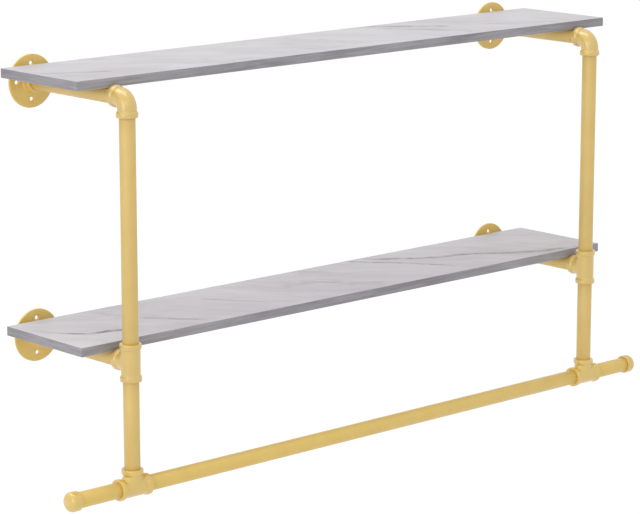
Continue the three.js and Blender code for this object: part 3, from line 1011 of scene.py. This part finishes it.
for side, sign in (("left", -1), ("right", 1)):
    x = sign * POST_X
    for level, z in LEVELS.items():
        piece(f"{level}_{side}_flange_casting", flange, at(x, 0, z, FORWARD), [flange_gold],
              f"{level}_{side}_flange")
        piece(f"{level}_{side}_arm_pipe", arm, at(x, -FLANGE_HEIGHT, z, FORWARD), [pipe_gold],
              f"{level}_{side}_arm")
        for end, inset in SCREW_INSETS.items():
            place = at(x, BOARD_BACK - inset, z - SCREW_DROP)
            piece(f"{level}_{side}_{end}_wood_screw", screw, place, [screw_zinc],
                  f"{level}_{side}_{end}_screw")
    piece(f"{side}_elbow_casting", elbow, at(x, POST_Y, 0), [cast_gold],
          f"{side}_elbow")
    piece(f"{side}_middle_tee_casting", tee, at(x, POST_Y, -SHELF_PITCH), [cast_gold],
          f"{side}_middle_tee")
    piece(f"{side}_bottom_tee_casting", tee, at(x, POST_Y, RAIL_Z, LAID), [painted_light_low_gold],
          f"{side}_bottom_tee")
    piece(f"{side}_upper_post_pipe", upper_post, at(x, POST_Y, -SHELF_PITCH + REACH), [pipe_gold],
          f"{side}_upper_post")
    piece(f"{side}_lower_post_pipe", lower_post, at(x, POST_Y, RAIL_Z + REACH), [pipe_gold],
          f"{side}_lower_post")
    outwards = TO_RIGHT if sign > 0 else TO_LEFT
    stub_start = x + sign * REACH
    cap_start = stub_start + sign * (STUB_LENGTH + 2 * SEAT)
    piece(f"{side}_stub_pipe", stub, at(stub_start, POST_Y, RAIL_Z, outwards), [painted_light_rail_gold],
          f"{side}_rail_stub")
    piece(f"{side}_cap_casting", cap, at(cap_start, POST_Y, RAIL_Z, outwards), [painted_light_low_gold],
          f"{side}_end_cap")

piece("hanging_rail_pipe", rail, at(-POST_X + REACH, POST_Y, RAIL_Z, TO_RIGHT), [painted_light_rail_gold],
      "hanging_rail")

# Floor, world, lamps and camera

# Lengths are metres from here on, and a strength of 1 renders as white. The floor's glow grows
# from the near to the far distance from its middle
FLOOR_HALF = 40.0
FLOOR_Z = -1.60
FLOOR_GREY = (0.80, 0.80, 0.80, 1)
WHITE = (1, 1, 1, 1)
GLOW_NEAR, GLOW_NEAR_STRENGTH = 1.0, 0.288
GLOW_FAR, GLOW_FAR_STRENGTH = 8.0, 0.430
WORLD_LEVEL = 0.73


def seen_directly(tree):
    """1 for what the camera, a reflection or glass sees, and 0 for light on the object."""
    path = node(tree, "ShaderNodeLightPath")
    seen = math_node(tree, "MAXIMUM", path.outputs["Is Camera Ray"], path.outputs["Is Glossy Ray"])
    return math_node(tree, "MAXIMUM", seen, path.outputs["Is Transmission Ray"])


def floor_white():
    """A dull white with a glow that grows away from the middle. From below it is clear."""
    material = bpy.data.materials.new("floor_white")
    material.use_nodes = True
    tree = material.node_tree
    tree.nodes.clear()
    out = node(tree, "ShaderNodeOutputMaterial")
    dull = node(tree, "ShaderNodeBsdfDiffuse", inputs={"Color": FLOOR_GREY})
    glow = node(tree, "ShaderNodeEmission", inputs={"Color": WHITE})
    seen = seen_directly(tree)
    where = node(tree, "ShaderNodeTexCoord").outputs["Object"]
    away = node(tree, "ShaderNodeVectorMath", operation="LENGTH", inputs={0: where}).outputs["Value"]
    growth = spread(tree, away, GLOW_NEAR, GLOW_FAR, GLOW_NEAR_STRENGTH, GLOW_FAR_STRENGTH)
    tree.links.new(math_node(tree, "MULTIPLY", seen, growth), glow.inputs["Strength"])
    both = node(tree, "ShaderNodeAddShader", inputs={0: dull.outputs[0], 1: glow.outputs[0]})
    facing = node(tree, "ShaderNodeNewGeometry")
    clear = node(tree, "ShaderNodeBsdfTransparent")
    mix = node(tree, "ShaderNodeMixShader", inputs={
        0: facing.outputs["Backfacing"], 1: both.outputs[0], 2: clear.outputs[0],
    })
    tree.links.new(mix.outputs[0], out.inputs["Surface"])
    return material


def pale_floor():
    """A pale floor under the unit, which the camera and reflections see as near white."""
    floor = as_object("floor", (rectangle(FLOOR_HALF, FLOOR_HALF, 0), [(0, 1, 2, 3)]))
    floor.location = (0, 0, FLOOR_Z)
    floor.data.materials.append(floor_white())


def white_world():
    """An even pale sky, which the camera and reflections see as white."""
    world = bpy.data.worlds.new("studio")
    world.use_nodes = True
    bpy.context.scene.world = world
    tree = world.node_tree
    tree.nodes.clear()
    out = node(tree, "ShaderNodeOutputWorld")
    strength = spread(tree, seen_directly(tree), 0.0, 1.0, WORLD_LEVEL, 1.0, style="LINEAR")
    sky = node(tree, "ShaderNodeBackground", inputs={"Color": WHITE, "Strength": strength})
    tree.links.new(sky.outputs[0], out.inputs["Surface"])


# Soft lamps, all aimed at the unit's middle: each has a place, a width and a power in watts
LAMP_AIM = Vector((0, -0.15, -0.3))
LAMPS = {
    "key": ((-1.65, 1.87, 4.65), 2.55, 52),
    "overhead": ((-0.3, -0.52, 4.95), 3.0, 40),
    "front": ((-5.04, -6.72, 4.2), 3.6, 37.3),
    "side": ((-7.56, -2.04, 1.32), 4.5, 77.8),
}


def soft_lamp(name, place, width, watts):
    """A round lamp that looks at the unit."""
    lamp = bpy.data.lights.new(name, "AREA")
    lamp.shape = "DISK"
    lamp.size = width
    lamp.energy = watts
    obj = bpy.data.objects.new(name, lamp)
    obj.location = place
    obj.rotation_mode = "QUATERNION"
    obj.rotation_quaternion = (LAMP_AIM - Vector(place)).to_track_quat("-Z", "Y")
    bpy.context.scene.collection.objects.link(obj)


# The camera that was fitted to the photograph. The focal length is in the photograph's pixels,
# the sensor in millimetres, the place and the farthest view in metres and the angles in radians
PHOTO_WIDTH = 640
FOCAL_PIXELS = 2693.33
SENSOR_WIDTH = 36.0
FARTHEST = 200
EYE = (-3.1619, -3.5901, 0.6434)
YAW, PITCH = 0.73799, 0.21005


def photo_camera():
    """A camera that looks at the unit as the photograph does."""
    camera = bpy.data.cameras.new("camera")
    camera.sensor_width = SENSOR_WIDTH
    camera.lens = FOCAL_PIXELS * SENSOR_WIDTH / PHOTO_WIDTH
    camera.clip_end = FARTHEST
    obj = bpy.data.objects.new("camera", camera)
    level = math.cos(PITCH)
    gaze = Vector((math.sin(YAW) * level, math.cos(YAW) * level, -math.sin(PITCH)))
    obj.location = EYE
    obj.rotation_mode = "QUATERNION"
    obj.rotation_quaternion = gaze.to_track_quat("-Z", "Y")
    bpy.context.scene.collection.objects.link(obj)
    bpy.context.scene.camera = obj


pale_floor()
white_world()
for name, (place, width, watts) in LAMPS.items():
    soft_lamp(name, place, width, watts)
photo_camera()
bpy.context.scene.view_settings.view_transform = "Standard"
